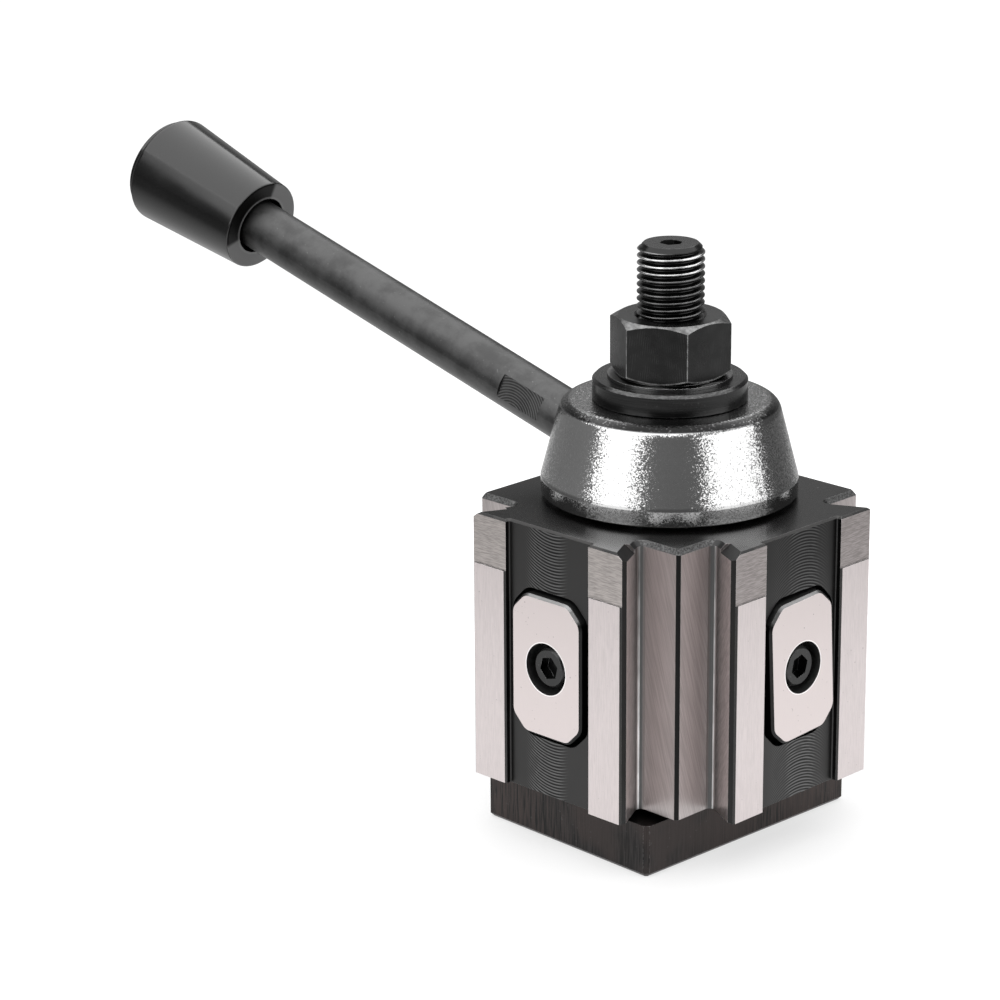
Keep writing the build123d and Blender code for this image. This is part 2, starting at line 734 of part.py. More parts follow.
# Clamp nut, a hexagon cut by two cones, on a round washer face
corner_radius = nut_size / sqrt(3)
chamfer_rise = (corner_radius - nut_chamfer_radius) * tan(radians(nut_chamfer_angle))
hex_bottom = washer_top + nut_face_height
with BuildPart() as clamp_nut:
    with BuildSketch(Plane.XY.offset(hex_bottom).rotated((0, 0, nut_turn))):
        RegularPolygon(nut_size / 2, 6, major_radius=False)
    extrude(amount=clamp_nut_top - hex_bottom)
    with BuildSketch(Plane.XZ):
        with BuildLine():
            Polyline(
                (0, hex_bottom),
                (nut_chamfer_radius, hex_bottom),
                (corner_radius, hex_bottom + chamfer_rise),
                (corner_radius, clamp_nut_top - chamfer_rise),
                (nut_chamfer_radius, clamp_nut_top),
                (0, clamp_nut_top),
                close=True,
            )
        make_face()
    revolve(axis=Axis.Z, mode=Mode.INTERSECT)
    with BuildSketch(Plane.XY.offset(washer_top)):
        Circle(nut_face_radius)
    extrude(amount=nut_face_height)
    with BuildSketch(Plane.XZ):
        with BuildLine():
            Polyline(
                (0, washer_top),
                (stud_radius + running_fit, washer_top),
                (stud_radius + running_fit, clamp_nut_top - nut_countersink),
                (stud_radius + running_fit + nut_countersink, clamp_nut_top),
                (0, clamp_nut_top),
                close=True,
            )
        make_face()
    revolve(axis=Axis.Z, mode=Mode.SUBTRACT)
finish(clamp_nut, "clamp_nut")
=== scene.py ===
from math import cos, pi, radians, sin, tan

import bmesh
import bpy
from mathutils import Matrix, Vector


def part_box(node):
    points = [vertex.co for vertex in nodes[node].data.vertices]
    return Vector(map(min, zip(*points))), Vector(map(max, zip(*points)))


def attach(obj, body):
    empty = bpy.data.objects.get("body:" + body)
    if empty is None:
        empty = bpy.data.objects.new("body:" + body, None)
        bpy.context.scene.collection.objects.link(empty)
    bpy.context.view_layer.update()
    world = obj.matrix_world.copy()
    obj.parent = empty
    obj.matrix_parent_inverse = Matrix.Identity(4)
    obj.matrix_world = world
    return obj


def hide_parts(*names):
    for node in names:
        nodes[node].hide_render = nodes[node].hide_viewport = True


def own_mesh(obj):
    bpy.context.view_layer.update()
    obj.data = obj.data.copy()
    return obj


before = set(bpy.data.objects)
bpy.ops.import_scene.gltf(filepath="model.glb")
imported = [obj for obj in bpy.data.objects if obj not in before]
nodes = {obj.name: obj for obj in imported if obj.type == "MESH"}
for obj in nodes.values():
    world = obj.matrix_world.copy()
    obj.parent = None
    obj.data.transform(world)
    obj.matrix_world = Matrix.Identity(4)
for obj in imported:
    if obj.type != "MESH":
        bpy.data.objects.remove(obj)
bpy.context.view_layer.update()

scene = bpy.context.scene
MM = 0.001

# Sizes of the solids and of the detail on them, in millimetres
BODY_TOP = 70.45
RAIL_REACH, LAND_REACH, PAD_REACH = 36.65, 27.4, 36.95
ROOT_HALF, TIP_START = 16.8, 35.25
RECESS_HALF, RECESS_REACH = 11.55, 33.0
HOLLOW_REACH, HOLLOW_HALF = 29.14, 18.75
LAND_BEVEL = 0.68
PISTON_HEIGHT, COUNTERBORE_RADIUS = 41.2, 5.5
SPRING_WIRE, SPRING_TURNS = 0.54, 3
STUD_RADIUS, STUD_TOP, STUD_BEVEL = 6.97, 123.7, 1.0
COLLAR_RADIUS, COLLAR_BOTTOM, COLLAR_TOP = 11.0, 11.3, 13.0
SOCKET_APOTHEM, SOCKET_DEPTH, SOCKET_TIP = 2.0, 4.6, 5.0
THREAD_PITCH, THREAD_DEPTH, THREAD_BOTTOM = 1.5, 0.92, 86.0
THREAD_CREST, THREAD_FLANK = 0.125, 0.355
THREAD_RUN_OUT, THREAD_END_BEVEL, BRIGHT_THREAD = 0.9, 1.3, 5.5
NUT_TURN, NUT_BOTTOM, NUT_CHAMFER_RADIUS = 27.9, 96.3, 10.7
HUB_BAND_RADIUS, HUB_FILLET_HEIGHT = 26.5, 89.8
LEVER_TURN, LEVER_RISE, LEVER_HEIGHT = radians(182.9), radians(16.75), 73.05
WRENCH_FLAT_START, WRENCH_FLAT_END, WRENCH_FLAT_TURN = 32.9, 44.4, radians(11)
KNOB_START, KNOB_MOUTH_RADIUS, KNOB_MOUTH_DEPTH = 124.4, 6.6, 5.0

# Marks that the cutters left, in millimetres
ARC_PITCH, ARC_SHIFT, ARC_RADIUS = 0.66, 0.5, 11.4
WRENCH_ARC_PITCH, WRENCH_ARC_STEP, WRENCH_ARC_DROP = 0.6, 40.0, 6.0

# Points round the stud, steps in a turn of its thread, steps in a turn of a spring and sides of its wire
STUD_POINTS, THREAD_STEPS, SPRING_STEPS, SPRING_SIDES = 120, 14, 36, 12

# Stage and camera: places in metres, angles in degrees, the lens in millimetres
PART_MIDDLE = Vector((0, 0, 0.07))
FLOOR_RADIUS, FLOOR_DROP = 4.0, 0.00002
CAMERA_SPOT = (0.471764, -0.522731, 0.294249)
CAMERA_TURN, CAMERA_DIP, CAMERA_ROLL = 44.9246, 17.7587, -0.4286
CAMERA_LENS = 128.05
MIRRORED_LEVEL, WORLD_LEVEL = 0.152, 0.3

lever_along = Vector((
    cos(LEVER_RISE) * cos(LEVER_TURN),
    cos(LEVER_RISE) * sin(LEVER_TURN),
    sin(LEVER_RISE),
))
lever_level = Vector((-sin(LEVER_TURN), cos(LEVER_TURN), 0))
lever_foot = Vector((0, 0, LEVER_HEIGHT))


# Materials

class Nodes:
    """Nodes of one tree, built from short calls. Values may be numbers or sockets."""

    def __init__(self, tree):
        self.tree = tree

    def add(self, kind, inputs=None, **settings):
        node = self.tree.nodes.new(kind)
        for key, value in settings.items():
            setattr(node, key, value)
        for key, value in (inputs or {}).items():
            self.feed(node.inputs[key], value)
        return node

    def feed(self, socket, value):
        if isinstance(value, bpy.types.NodeSocket):
            self.tree.links.new(value, socket)
        elif value is not None:
            socket.default_value = value

    def math(self, operation, a, b=None, clamp=False):
        return self.add("ShaderNodeMath", {0: a, 1: b}, operation=operation, use_clamp=clamp).outputs[0]

    def compare(self, value, target, slack):
        """1 where value is within the slack of the target."""
        return self.add("ShaderNodeMath", {0: value, 1: target, 2: slack}, operation="COMPARE").outputs[0]

    def sum(self, *terms):
        """Sum of values, each given with its weight."""
        total = None
        for value, weight in terms:
            part = self.math("MULTIPLY", value, weight)
            total = part if total is None else self.math("ADD", total, part)
        return total

    def vector(self, operation, a, b=None):
        node = self.add("ShaderNodeVectorMath", {0: a, 1: b}, operation=operation)
        return node.outputs["Value" if operation in ("DOT_PRODUCT", "LENGTH") else "Vector"]

    def scale(self, vector, by):
        return self.add("ShaderNodeVectorMath", {0: vector, 3: by}, operation="SCALE").outputs["Vector"]

    def split(self, value):
        return self.add("ShaderNodeSeparateXYZ", {0: value}).outputs

    def join(self, x, y, z):
        return self.add("ShaderNodeCombineXYZ", {0: x, 1: y, 2: z}).outputs[0]

    def mix(self, share, a, b):
        """Colour between a and b."""
        return self.add("ShaderNodeMix", {0: share, 6: a, 7: b}, data_type="RGBA").outputs[2]

    def blend(self, share, a, b):
        """Number between a and b."""
        return self.add("ShaderNodeMix", {0: share, 2: a, 3: b}, data_type="FLOAT").outputs[0]

    def both(self, a, b):
        """The share where both masks hold."""
        return self.math("MULTIPLY", a, b)

    def above(self, value, level):
        return self.math("GREATER_THAN", value, level)

    def below(self, value, level):
        return self.math("LESS_THAN", value, level)

    def size(self, value):
        return self.math("ABSOLUTE", value)

    def ramp(self, value, low, high, to_low=0.0, to_high=1.0):
        """Smooth step of value from low to high."""
        inputs = {"Value": value, "From Min": low, "From Max": high, "To Min": to_low, "To Max": to_high}
        return self.add("ShaderNodeMapRange", inputs, interpolation_type="SMOOTHSTEP").outputs[0]

    def noise(self, place, scale, detail=2.0, roughness=0.5):
        inputs = {"Vector": place, "Scale": scale, "Detail": detail, "Roughness": roughness}
        return self.add("ShaderNodeTexNoise", inputs).outputs["Fac"]


class Shader(Nodes):
    """Nodes of one material."""

    def __init__(self, name):
        self.material = bpy.data.materials.new(name)
        self.material.use_nodes = True
        super().__init__(self.material.node_tree)
        self.surface = self.tree.nodes["Principled BSDF"]

    def set(self, **inputs):
        for key, value in inputs.items():
            self.feed(self.surface.inputs[key.replace("_", " ")], value)

    def metal(self, tone, rough, height, eased=None):
        """Finish a metal, from its tone, its roughness and its height in millimetres."""
        self.set(Base_Color=tone, Metallic=1.0, Roughness=rough, Normal=self.bump(height, eased))
        return self.material

    def place(self):
        """Rest position on the node, in millimetres."""
        return self.scale(self.add("ShaderNodeTexCoord").outputs["Object"], 1000.0)

    def normal(self):
        return self.add("ShaderNodeTexCoord").outputs["Normal"]

    def from_axis(self, x, y):
        """Distance from the stud's axis."""
        return self.math("SQRT", self.math("ADD", self.math("MULTIPLY", x, x), self.math("MULTIPLY", y, y)))

    def bump(self, height, normal=None):
        """Normal from a height in millimetres."""
        inputs = {"Height": height, "Strength": 1.0, "Distance": MM, "Normal": normal}
        return self.add("ShaderNodeBump", inputs).outputs[0]

    def edge(self, radius):
        """Normal with its sharp edges eased."""
        return self.add("ShaderNodeBevel", {"Radius": radius * MM}, samples=4).outputs[0]

    def worn(self, eased):
        """How near an edge a spot is: where its eased normal leaves the plain one."""
        plain = self.add("ShaderNodeNewGeometry").outputs["Normal"]
        return self.ramp(self.vector("DOT_PRODUCT", eased, plain), 0.86, 0.98, 1.0, 0.0)


def grey(value, warm=0.0):
    """Plain grey, or one a little towards brown."""
    return (value * (1 + warm), value, value * (1 - 0.4 * warm), 1.0)


def dress(name, material):
    """Give a CAD node its material."""
    for entry in nodes[name].material_slots:
        entry.material = material
    if not nodes[name].material_slots:
        nodes[name].data.materials.append(material)


# Post body: black oxide, with ground rails, flanks and lands
def cutter_arcs(s, place, along, on_side):
    """Arcs left in each recess, from -1 in a groove to 1 on a ridge.

    They curve one way in the front face and the other way in the side face.
    """
    z = s.split(place)[2]
    beside = s.math("SUBTRACT", along, ARC_SHIFT)
    drop = s.math("SUBTRACT", ARC_RADIUS * ARC_RADIUS, s.math("MULTIPLY", beside, beside))
    arc = s.math("SQRT", s.math("MAXIMUM", drop, 0.0))
    sway = s.noise(s.join(0.0, 0.0, z), 0.7)
    spot = s.math("ADD", z, s.sum((arc, s.blend(on_side, 1.0, -1.0)), (sway, 0.5)))
    ridge = s.math("SINE", s.math("MULTIPLY", s.math("DIVIDE", spot, ARC_PITCH), 2 * pi))
    off_middle = s.size(s.math("ADD", along, s.blend(on_side, 1.1, -1.4)))
    middle = s.ramp(off_middle, 2.4, 6.4, 1.0, 0.0)
    faint = s.both(s.ramp(s.size(along), 6.5, 10.0, 0.3, 0.0), on_side)
    patch = s.ramp(s.noise(place, 0.28, 2.0), 0.25, 0.5, 0.35, 1.0)
    return s.both(s.both(ridge, s.math("MAXIMUM", middle, faint)), patch)


def oxide_tone(s, place, arcs, recess, top, on_side):
    """Black oxide of the recesses, the top and the two plain sides, with a painted reflection on the top and
    painted shade high in the side recess.
    """
    x, y, z = s.split(place)
    tone = s.mix(s.noise(place, 0.06, 4.0, 0.6), grey(0.042), grey(0.062, 0.03))
    tone = s.mix(s.math("MULTIPLY", arcs, 1.3, clamp=True), tone, grey(0.17))
    tone = s.mix(s.math("MULTIPLY", arcs, -1.1, clamp=True), tone, grey(0.009))
    # painted reflection: the top lighter towards the near corner
    painted_top_sheen = s.ramp(s.math("SUBTRACT", x, y), 28.0, 54.0, 0.0, 0.8)
    tone = s.mix(s.both(painted_top_sheen, top), tone, grey(0.165))
    tone = s.mix(s.both(recess, 0.25), tone, grey(0.03))
    # painted shade: the side recess darker towards its top
    side_recess_shade = s.both(s.both(recess, on_side), s.ramp(z, 52.0, 66.0, 0.0, 0.4))
    tone = s.mix(side_recess_shade, tone, grey(0.015))
    dust = s.ramp(s.noise(place, 1.3, 1.0), 0.75, 0.79, 0.0, 0.7)
    return s.mix(s.both(dust, top), tone, grey(0.3))


def root_tone(s, place, outward, on_side):
    """The rounded root of each dovetail, in painted light and shade: a dark hollow with one painted highlight
    line, each at its own level on the front and the side.
    """
    z = s.split(place)[2]
    wander = s.noise(s.vector("MULTIPLY", place, (0.0, 0.0, 0.12)), 1.0)
    # painted highlight along the root, brightest low on the front face and fading near the top
    root_highlight = s.mix(s.ramp(wander, 0.35, 0.65), grey(0.36), grey(0.62))
    root_highlight = s.scale(root_highlight, s.blend(on_side, s.ramp(z, 20.0, 55.0, 1.75, 0.9), 1.6))
    root_highlight = s.scale(root_highlight, s.ramp(z, 52.0, 69.0, 1.0, 0.5))
    tone = s.mix(on_side, (0.42, 0.39, 0.384, 1), (0.6, 0.557, 0.55, 1))
    tone = s.mix(s.ramp(outward, -0.04, 0.08), tone, root_highlight)
    # painted shade in the hollow past the highlight
    past_highlight = s.ramp(s.math("SUBTRACT", outward, s.blend(on_side, 0.15, 0.0)), 0.24, 0.36)
    tone = s.mix(past_highlight, tone, grey(0.09))
    # painted shade on the land beside the root, darker on the side face
    beside_land = s.mix(on_side, (0.3, 0.278, 0.272, 1), (0.17, 0.158, 0.155, 1))
    return s.mix(s.ramp(outward, 0.75, 0.98), tone, beside_land)


def side_tone(s, place, sweep, reach, width, land, outward, on_side, hollow):
    """Flanks and lands, milled with slanting strokes, with painted shade: flanks darker towards the root,
    lands graded along their width, each at its own level on the front and the side.
    """
    tone = s.mix(s.ramp(sweep, 0.3, 0.7), (0.43, 0.393, 0.386, 1), (0.55, 0.502, 0.497, 1))
    # painted shade: each flank darker towards the root, each land graded along its width, the front and side
    # at their own levels
    up_flank = s.math("MULTIPLY", s.math("SUBTRACT", reach, HOLLOW_REACH), 0.07)
    flank_shade = s.math("ADD", s.blend(on_side, 1.0, 1.15), up_flank)
    along_land = s.math("MULTIPLY", s.math("SUBTRACT", width, HOLLOW_HALF), s.blend(on_side, -0.02, 0.03))
    land_shade = s.math("ADD", s.blend(on_side, 1.01, 0.69), along_land)
    tone = s.scale(tone, s.blend(land, flank_shade, land_shade))
    return s.mix(hollow, tone, root_tone(s, place, outward, on_side))


def rail_tone(s, place, pad, grain, on_side):
    """Rails: cross-ground above, with a paler ground pad over most of their height."""
    cross = s.noise(s.vector("MULTIPLY", place, (0.5, 0.5, 7.0)), 1.0, 3.0)
    # painted shade: the upper rails of the side face darker than those of the front
    low = s.mix(on_side, (0.30, 0.278, 0.268, 1), (0.24, 0.218, 0.212, 1))
    high = s.mix(on_side, (0.49, 0.45, 0.432, 1), (0.39, 0.355, 0.35, 1))
    pad_tone = s.mix(s.ramp(grain, 0.3, 0.7), (0.585, 0.536, 0.533, 1), (0.665, 0.605, 0.602, 1))
    specks = s.ramp(s.noise(place, 1.6, 1.0), 0.74, 0.79)
    pad_tone = s.mix(specks, pad_tone, (0.42, 0.38, 0.38, 1))
    return s.mix(pad, s.mix(s.ramp(cross, 0.3, 0.7), low, high), pad_tone)


def body_material():
    s = Shader("post_black_and_ground")
    place = s.place()
    x, y, z = s.split(place)
    nx, ny, nz = s.split(s.normal())
    front = s.math("MULTIPLY", y, -1.0)
    on_side = s.above(x, front)
    reach = s.math("MAXIMUM", x, front)
    along = s.blend(on_side, x, y)
    width = s.size(along)
    outward = s.blend(on_side, s.math("MULTIPLY", ny, -1.0), nx)
    facing = s.above(outward, 0.9)
    upright = s.below(s.size(nz), 0.3)
    top = s.above(nz, 0.9)

    rail = s.both(s.above(reach, RAIL_REACH - 0.1), facing)
    pad = s.both(s.above(reach, RAIL_REACH + 0.2), facing)
    flank = s.both(s.above(reach, LAND_REACH + 0.02), s.below(reach, TIP_START + 0.01))
    land = s.both(s.compare(reach, LAND_REACH, 0.05), facing)
    sides = s.both(s.math("MAXIMUM", flank, land), s.above(width, ROOT_HALF - 0.6))
    sides = s.both(sides, upright)
    hollow = s.both(s.both(s.below(reach, HOLLOW_REACH), s.below(width, HOLLOW_HALF)), flank)
    slope = s.both(s.above(z, BODY_TOP - 2.0), s.compare(nz, 0.73, 0.15))
    slope = s.both(slope, s.above(width, ROOT_HALF - 1.5))
    bevel = s.both(slope, s.below(reach, LAND_REACH + 0.3))
    lead_in = s.math("SUBTRACT", slope, bevel)
    recess = s.both(s.both(s.below(width, RECESS_HALF + 0.1), facing), s.above(reach, RECESS_REACH))
    corner = s.both(s.above(s.math("MINIMUM", x, front), LAND_REACH - LAND_BEVEL), upright)
    tip = s.both(s.both(s.above(reach, TIP_START - 0.05), s.below(s.size(outward), 0.3)), upright)

    fine = s.noise(place, 2.2, 3.0)
    grain = s.noise(s.vector("MULTIPLY", place, (9.0, 9.0, 0.35)), 1.0, 3.0)
    slant = s.math("ADD", along, s.math("MULTIPLY", z, 0.3))
    sweep = s.noise(s.join(s.math("MULTIPLY", slant, 4.2), s.math("MULTIPLY", z, 0.12), reach), 1.0, 3.0)
    arcs = s.both(cutter_arcs(s, place, along, on_side), recess)

    tone = s.mix(tip, oxide_tone(s, place, arcs, recess, top, on_side), grey(0.03))
    tone = s.mix(sides, tone, side_tone(s, place, sweep, reach, width, land, outward, on_side, hollow))
    tone = s.mix(corner, tone, grey(0.016))
    mottled = s.ramp(s.noise(place, 2.6, 3.0, 0.65), 0.35, 0.65)
    tone = s.mix(bevel, tone, s.mix(mottled, grey(0.03), grey(0.105)))
    tone = s.mix(lead_in, tone, grey(0.04))
    tone = s.mix(rail, tone, rail_tone(s, place, pad, grain, on_side))
    eased = s.edge(0.15)
    # worn edges: bare steel on the oxide, and on the ground rails a near-white painted glint
    wear_and_glint = s.both(s.worn(eased), s.ramp(s.noise(place, 0.8, 3.0), 0.3, 0.6, 0.25, 0.9))
    tone = s.mix(wear_and_glint, tone, s.mix(rail, grey(0.13), (0.92, 0.87, 0.86, 1)))

    ground = s.math("MAXIMUM", s.math("MAXIMUM", sides, rail), slope)
    cloud = s.noise(place, 0.06, 4.0, 0.6)
    on_oxide = s.blend(top, s.ramp(cloud, 0.3, 0.7, 0.3, 0.4), 0.24)
    rough = s.blend(ground, on_oxide, s.ramp(fine, 0.3, 0.7, 0.3, 0.4))
    struck = s.both(sides, s.math("SUBTRACT", 1.0, hollow))
    height = s.sum((fine, 0.003), (arcs, 0.012), (s.both(sweep, struck), 0.014), (s.both(grain, rail), 0.003))
    return s.metal(tone, rough, height, eased)


# T-nut blank: sawn and rolled bar, brown-black, with bare specks on its edges
def t_nut_material():
    s = Shader("sawn_black_bar")
    place = s.place()
    x, y = s.split(place)[:2]
    lines = s.noise(s.vector("MULTIPLY", place, (3.0, 3.0, 0.12)), 1.0, 4.0, 0.6)
    cloud = s.noise(place, 0.045, 3.0, 0.6)
    fine = s.noise(place, 2.5, 2.0)
    tone = s.mix(s.ramp(lines, 0.35, 0.65), grey(0.02), (0.05, 0.046, 0.046, 1))
    tone = s.mix(s.ramp(cloud, 0.45, 0.6, 0.0, 0.7), tone, (0.052, 0.043, 0.041, 1))
    far = s.ramp(s.math("SUBTRACT", x, y), 12.0, 44.0, 0.55, 0.0)
    tone = s.mix(s.both(far, s.ramp(lines, 0.4, 0.6)), tone, (0.07, 0.053, 0.048, 1))
    specks = s.ramp(s.noise(place, 1.3, 2.0), 0.68, 0.72, 0.0, 0.25)
    tone = s.mix(specks, tone, grey(0.1))
    eased = s.edge(0.2)
    chipped = s.both(s.worn(eased), s.ramp(s.noise(place, 1.8, 3.0), 0.45, 0.6, 0.0, 0.75))
    tone = s.mix(chipped, tone, grey(0.34))
    height = s.sum((lines, 0.02), (fine, 0.006))
    return s.metal(tone, s.ramp(lines, 0.3, 0.7, 0.34, 0.5), height, eased)


# Screws of the plates and the hub: black oxide, a little dusty, rubbed on their edges
def screw_material():
    s = Shader("screw_black")
    place = s.place()
    x, y, z = s.split(place)
    cloud = s.noise(place, 0.12, 3.0, 0.6)
    fine = s.noise(place, 3.0, 3.0)
    grain = s.noise(s.scale(s.join(s.from_axis(x, y), z, 0.0), 5.0), 1.0, 2.0)
    tone = s.mix(cloud, grey(0.0375), grey(0.06))
    dust = s.ramp(s.noise(place, 2.1, 2.0), 0.68, 0.74, 0.0, 0.35)
    tone = s.mix(dust, tone, grey(0.16))
    eased = s.edge(0.12)
    bare = s.both(s.worn(eased), s.ramp(s.noise(place, 0.9, 3.0), 0.35, 0.6, 0.1, 0.8))
    tone = s.mix(bare, tone, grey(0.2))
    height = s.sum((fine, 0.004), (grain, 0.004))
    return s.metal(tone, s.ramp(cloud, 0.3, 0.7, 0.22, 0.3), height, eased)


# Clamp washer: turned black, with a worn edge that is also painted bright as a highlight, fine rings on its
# top, and its side painted lighter towards +x and +y
def washer_material():
    s = Shader("washer_turned_black")
    place = s.place()
    x, y, z = s.split(place)
    nz = s.split(s.normal())[2]
    cloud = s.noise(place, 0.12, 3.0, 0.6)
    fine = s.noise(place, 3.0, 3.0)
    rings = s.noise(s.join(s.math("MULTIPLY", s.from_axis(x, y), 4.0), 0.0, 0.0), 1.0, 3.0)
    turned = s.noise(s.vector("MULTIPLY", s.join(z, x, y), (5.0, 0.1, 0.1)), 1.0, 2.0)
    top = s.above(nz, 0.9)
    bevel = s.both(s.above(nz, 0.3), s.below(nz, 0.9))
    side = s.below(s.size(nz), 0.3)
    tone = s.mix(cloud, grey(0.026), grey(0.046))
    tone = s.mix(s.both(s.ramp(turned, 0.45, 0.65), side), tone, grey(0.05))
    tone = s.mix(s.both(s.ramp(rings, 0.52, 0.6), top), tone, grey(0.1))
    scuffs = s.ramp(s.noise(s.vector("MULTIPLY", place, (1.0, 1.0, 4.0)), 1.0, 3.0), 0.4, 0.62)
    tone = s.mix(s.both(bevel, s.blend(scuffs, 0.2, 0.8)), tone, grey(0.1))
    eased = s.edge(0.15)
    # worn edge, painted bright as a highlight too
    tone = s.mix(s.both(s.worn(eased), s.ramp(scuffs, 0.0, 1.0, 0.2, 0.9)), tone, grey(0.22))
    # painted highlight: the side lighter towards +x and +y
    rightward = s.ramp(s.math("ADD", x, y), 4.0, 15.0, 0.0, 0.5)
    tone = s.mix(s.both(side, rightward), tone, grey(0.09))
    dust = s.ramp(s.noise(place, 2.1, 2.0), 0.7, 0.75, 0.0, 0.4)
    tone = s.mix(dust, tone, grey(0.2))
    height = s.sum((fine, 0.004), (turned, 0.01))
    return s.metal(tone, s.ramp(cloud, 0.3, 0.7, 0.2, 0.28), height, eased)


# Stud thread: black oxide roots, with painted highlights on the crests, brightest on the last turns
def thread_material():
    s = Shader("stud_thread_black")
    place = s.place()
    x, y, z = s.split(place)
    around = s.from_axis(x, y)
    fine = s.noise(place, 3.0, 3.0)
    # painted highlight on the crests, brightest on the last turns
    crest_highlight = s.ramp(around, STUD_RADIUS - 0.4, STUD_RADIUS - 0.05)
    crest_highlight = s.both(crest_highlight, s.ramp(s.noise(place, 0.35, 3.0), 0.3, 0.6, 0.5, 1.0))
    highlit_turns = s.ramp(z, STUD_TOP - BRIGHT_THREAD - 0.6, STUD_TOP - BRIGHT_THREAD + 0.6)
    on_end = s.above(z, STUD_TOP - 0.1)
    socket = s.both(s.below(around, SOCKET_APOTHEM + 0.35), s.below(z, STUD_TOP - 0.02))
    tone = s.mix(crest_highlight, grey(0.03), s.mix(highlit_turns, grey(0.14), grey(0.75)))
    end_tone = s.mix(s.ramp(s.noise(place, 0.8, 4.0, 0.65), 0.35, 0.65), grey(0.036), grey(0.062))
    tone = s.mix(on_end, tone, end_tone)
    # painted shade: the inside of the hex socket nearly black
    tone = s.mix(socket, tone, grey(0.006))
    return s.metal(tone, s.ramp(fine, 0.3, 0.7, 0.2, 0.28), s.sum((fine, 0.004)), s.edge(0.06))


# Clamp nut: milled flats with fine arcs, bright worn corners
def nut_material():
    s = Shader("clamp_nut_black")
    place = s.place()
    x, y, z = s.split(place)
    normal = s.split(s.normal())
    nx, nz = normal[0], normal[2]
    turn = s.math("SUBTRACT", s.math("DEGREES", s.math("ARCTAN2", y, x)), NUT_TURN)
    off_flat = s.size(s.math("SUBTRACT", s.math("MODULO", s.math("ADD", turn, 720.0), 60.0), 30.0))
    ridge = s.ramp(off_flat, 29.3, 29.8)
    flat = s.below(s.size(nz), 0.2)
    cloud = s.noise(place, 0.1, 3.0, 0.6)
    fine = s.noise(place, 3.0, 3.0)
    worn = s.ramp(s.noise(place, 0.9, 2.0), 0.35, 0.6)
    sweep = s.sum((off_flat, 0.55), (s.math("SUBTRACT", z, NUT_BOTTOM - 0.3), 0.25))
    marks = s.both(s.math("SINE", s.math("MULTIPLY", sweep, 5.2)), flat)
    marks = s.both(marks, s.ramp(s.noise(place, 0.5), 0.4, 0.65))
    cone = s.both(s.above(nz, 0.3), s.below(nz, 0.97))
    skirt_rise = s.math("SUBTRACT", s.from_axis(x, y), NUT_CHAMFER_RADIUS)
    skirt_rise = s.math("MULTIPLY", skirt_rise, tan(radians(30)))
    skirt = s.both(s.below(z, s.math("ADD", skirt_rise, NUT_BOTTOM + 0.3)), flat)
    foot = s.below(z, NUT_BOTTOM + 0.02)
    tone = s.mix(cloud, grey(0.028), grey(0.05))
    # painted light: flats facing +x painted up to a third lighter
    tone = s.scale(tone, s.ramp(nx, 0.7, 1.0, 1.0, 1.35))
    tone = s.mix(s.math("MULTIPLY", marks, 0.35, clamp=True), tone, grey(0.1))
    cone_tone = s.mix(s.ramp(s.noise(place, 0.7, 4.0, 0.65), 0.35, 0.65), grey(0.1), grey(0.2))
    tone = s.mix(cone, tone, cone_tone)
    tone = s.mix(skirt, tone, s.mix(worn, grey(0.16), grey(0.34)))
    tone = s.mix(foot, tone, grey(0.16))
    tone = s.mix(s.both(s.both(ridge, flat), s.blend(worn, 0.34, 0.85)), tone, grey(0.55))
    eased = s.edge(0.15)
    rubbed = s.both(s.worn(eased), s.ramp(s.noise(place, 0.7, 2.0), 0.35, 0.6, 0.3, 0.8))
    tone = s.mix(rubbed, tone, grey(0.36))
    height = s.sum((fine, 0.005), (marks, 0.004))
    return s.metal(tone, s.ramp(cloud, 0.3, 0.7, 0.24, 0.34), height, eased)


